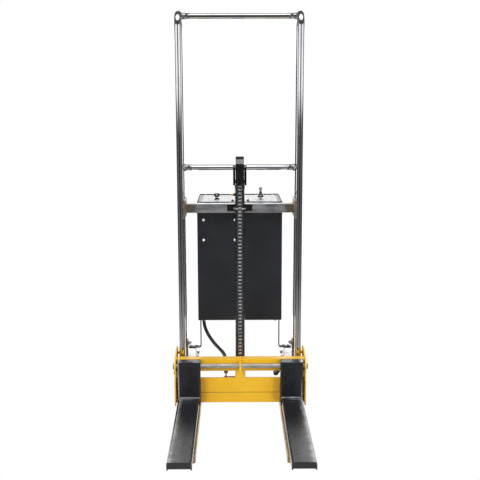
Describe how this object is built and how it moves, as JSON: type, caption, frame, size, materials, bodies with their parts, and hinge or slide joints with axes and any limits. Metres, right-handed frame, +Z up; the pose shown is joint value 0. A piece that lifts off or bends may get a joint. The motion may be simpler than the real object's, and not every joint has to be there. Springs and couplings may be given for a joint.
{
  "type": "walkie stacker",
  "caption": "Light fork-over stacker with bent-tube masts, chain-hung carriage on a hydraulic ram, adjustable forks, swivel casters and a rear power box.",
  "frame": {"origin": "on the floor under the middle of the stacker's bounding box", "axes": "+Z up; the forks point to -Y and the operator stands at +Y; +X is to the right for someone in front of the forks looking at the stacker"},
  "size_m": [0.59, 1.164, 1.7462],
  "materials": {
    "chrome": "bright chrome plating",
    "zinc": "zinc-plated or bare steel, slightly dull",
    "yellow_paint": "yellow powder coat, satin gloss",
    "black_paint": "black paint, fairly glossy",
    "black_steel": "blackened oily steel",
    "brass": "dull brass",
    "black_rubber": "matt black rubber",
    "panel_grey": "light grey satin panel",
    "nylon": "off-white nylon",
    "battery_case": "dark moulded plastic",
    "tank_plastic": "moulded plastic tank",
    "motor_steel": "dark grey enamel",
    "aluminium": "machined aluminium"
  },
  "bodies": {
    "root": {"base_frame": "yellow_paint", "mast_tube_left": "chrome", "mast_tube_right": "chrome", "top_crossbar": "chrome", "middle_crossbar": "chrome", "cross_member": "zinc", "cylinder_barrel": "black_paint", "cylinder_gland": "black_steel", "cylinder_foot": "black_steel", "cylinder_clamp_plate": "black_paint", "cylinder_u_bolt": "zinc", "hydraulic_hose": "black_rubber", "hose_fitting_lower": "brass", "hose_fitting_upper": "brass", "bleed_fitting": "brass", "box_shell": "black_paint", "box_top_panel": "panel_grey", "box_rear_cover": "black_paint", "box_strap_left": "black_paint", "box_strap_right": "black_paint", "battery": "battery_case", "pump_motor": "motor_steel", "pump_block": "aluminium", "oil_tank": "tank_plastic", "motor_contactor": "motor_steel", "key_switch_body": "black_steel", "lift_lever_base": "chrome", "chain_anchor": "zinc", "chain_rear_run": "black_steel", "caster_bracket_left": "zinc", "caster_bracket_right": "zinc"},
    "ram": {"ram_rod": "chrome", "ram_head": "black_paint", "pulley_axle": "zinc", "chain_over_pulley": "black_steel", "chain_guard": "black_paint"},
    "pulley": {"chain_pulley": "zinc"},
    "carriage": {"carriage_frame": "yellow_paint", "fork_rod": "zinc", "rod_nut_left": "zinc", "rod_nut_right": "zinc", "carriage_stop_knob": "black_rubber", "chain_clevis": "zinc", "chain_front_run": "black_steel"},
    "roller_upper_left": {"guide_roller_upper_left": "nylon"},
    "roller_upper_right": {"guide_roller_upper_right": "nylon"},
    "roller_lower_left": {"guide_roller_lower_left": "nylon"},
    "roller_lower_right": {"guide_roller_lower_right": "nylon"},
    "left_fork": {"fork_left": "black_paint"},
    "right_fork": {"fork_right": "black_paint"},
    "left_load_roller": {"load_roller_left": "nylon"},
    "right_load_roller": {"load_roller_right": "nylon"},
    "left_caster": {"caster_fork_left": "zinc"},
    "right_caster": {"caster_fork_right": "zinc"},
    "left_caster_wheel": {"caster_wheel_left": "black_rubber"},
    "right_caster_wheel": {"caster_wheel_right": "black_rubber"},
    "left_brake_pedal": {"caster_brake_left": "black_rubber"},
    "right_brake_pedal": {"caster_brake_right": "black_rubber"},
    "switch_key": {"key": "zinc"},
    "control_lever": {"lift_lever": "chrome"}
  },
  "joints": [
    {"name": "carriage_lift", "type": "slide", "parent": "root", "child": "carriage", "axis": [0, 0, 1], "range_m": [0, 1.4], "deforming": ["chain_front_run"]},
    {"name": "ram_lift", "type": "slide", "parent": "root", "child": "ram", "axis": [0, 0, 1], "range_m": [0, 0.7], "deforming": ["chain_rear_run"]},
    {"name": "pulley_spin", "type": "hinge", "parent": "ram", "child": "pulley", "pos_m": [0, 0.162, 1.088], "axis": [1, 0, 0], "continuous": true},
    {"name": "upper_left_roller_spin", "type": "hinge", "parent": "carriage", "child": "roller_upper_left", "pos_m": [-0.258, 0.1852, 0.25], "axis": [1, 0, 0], "continuous": true},
    {"name": "upper_right_roller_spin", "type": "hinge", "parent": "carriage", "child": "roller_upper_right", "pos_m": [0.258, 0.1852, 0.25], "axis": [1, 0, 0], "continuous": true},
    {"name": "lower_left_roller_spin", "type": "hinge", "parent": "carriage", "child": "roller_lower_left", "pos_m": [-0.258, 0.1148, 0.082], "axis": [1, 0, 0], "continuous": true},
    {"name": "lower_right_roller_spin", "type": "hinge", "parent": "carriage", "child": "roller_lower_right", "pos_m": [0.258, 0.1148, 0.082], "axis": [1, 0, 0], "continuous": true},
    {"name": "left_fork_slide", "type": "slide", "parent": "carriage", "child": "left_fork", "axis": [1, 0, 0], "range_m": [0, 0.163]},
    {"name": "right_fork_slide", "type": "slide", "parent": "carriage", "child": "right_fork", "axis": [-1, 0, 0], "range_m": [0, 0.163]},
    {"name": "left_load_roller_spin", "type": "hinge", "parent": "root", "child": "left_load_roller", "pos_m": [-0.21825, -0.412, 0.025], "axis": [1, 0, 0], "continuous": true},
    {"name": "right_load_roller_spin", "type": "hinge", "parent": "root", "child": "right_load_roller", "pos_m": [0.21825, -0.412, 0.025], "axis": [1, 0, 0], "continuous": true},
    {"name": "left_caster_swivel", "type": "hinge", "parent": "root", "child": "left_caster", "pos_m": [-0.23, 0.42, 0.14], "axis": [0, 0, 1], "continuous": true},
    {"name": "right_caster_swivel", "type": "hinge", "parent": "root", "child": "right_caster", "pos_m": [0.23, 0.42, 0.14], "axis": [0, 0, 1], "continuous": true},
    {"name": "left_caster_roll", "type": "hinge", "parent": "left_caster", "child": "left_caster_wheel", "pos_m": [-0.22573, 0.45474, 0.05], "axis": [0.9925, -0.1219, 0], "continuous": true},
    {"name": "right_caster_roll", "type": "hinge", "parent": "right_caster", "child": "right_caster_wheel", "pos_m": [0.22695, 0.45487, 0.05], "axis": [0.9962, 0.0872, 0], "continuous": true},
    {"name": "left_brake", "type": "hinge", "parent": "left_caster", "child": "left_brake_pedal", "pos_m": [-0.25582, 0.45591, 0.088], "axis": [0.1219, 0.9925, 0], "range_deg": [-12, 0]},
    {"name": "right_brake", "type": "hinge", "parent": "right_caster", "child": "right_brake_pedal", "pos_m": [0.19728, 0.44976, 0.088], "axis": [-0.0872, 0.9962, 0], "range_deg": [-12, 0]},
    {"name": "key_turn", "type": "hinge", "parent": "root", "child": "switch_key", "pos_m": [-0.105, 0.4, 0.9205], "axis": [0, 0, 1], "range_deg": [-90, 0]},
    {"name": "lever_tilt", "type": "hinge", "parent": "root", "child": "control_lever", "pos_m": [0.098, 0.4, 0.9225], "axis": [1, 0, 0], "range_deg": [-12, 12], "stiffness_Nm_per_rad": 0.3}
  ],
  "couplings": [
    {"joint": "ram_lift", "follows": "carriage_lift", "ratio": 0.5},
    {"joint": "pulley_spin", "follows": "carriage_lift", "rad_per_m": -13.158},
    {"joint": "upper_left_roller_spin", "follows": "carriage_lift", "rad_per_m": 49.26},
    {"joint": "upper_right_roller_spin", "follows": "carriage_lift", "rad_per_m": 49.26},
    {"joint": "lower_left_roller_spin", "follows": "carriage_lift", "rad_per_m": -49.26},
    {"joint": "lower_right_roller_spin", "follows": "carriage_lift", "rad_per_m": -49.26}
  ]
}
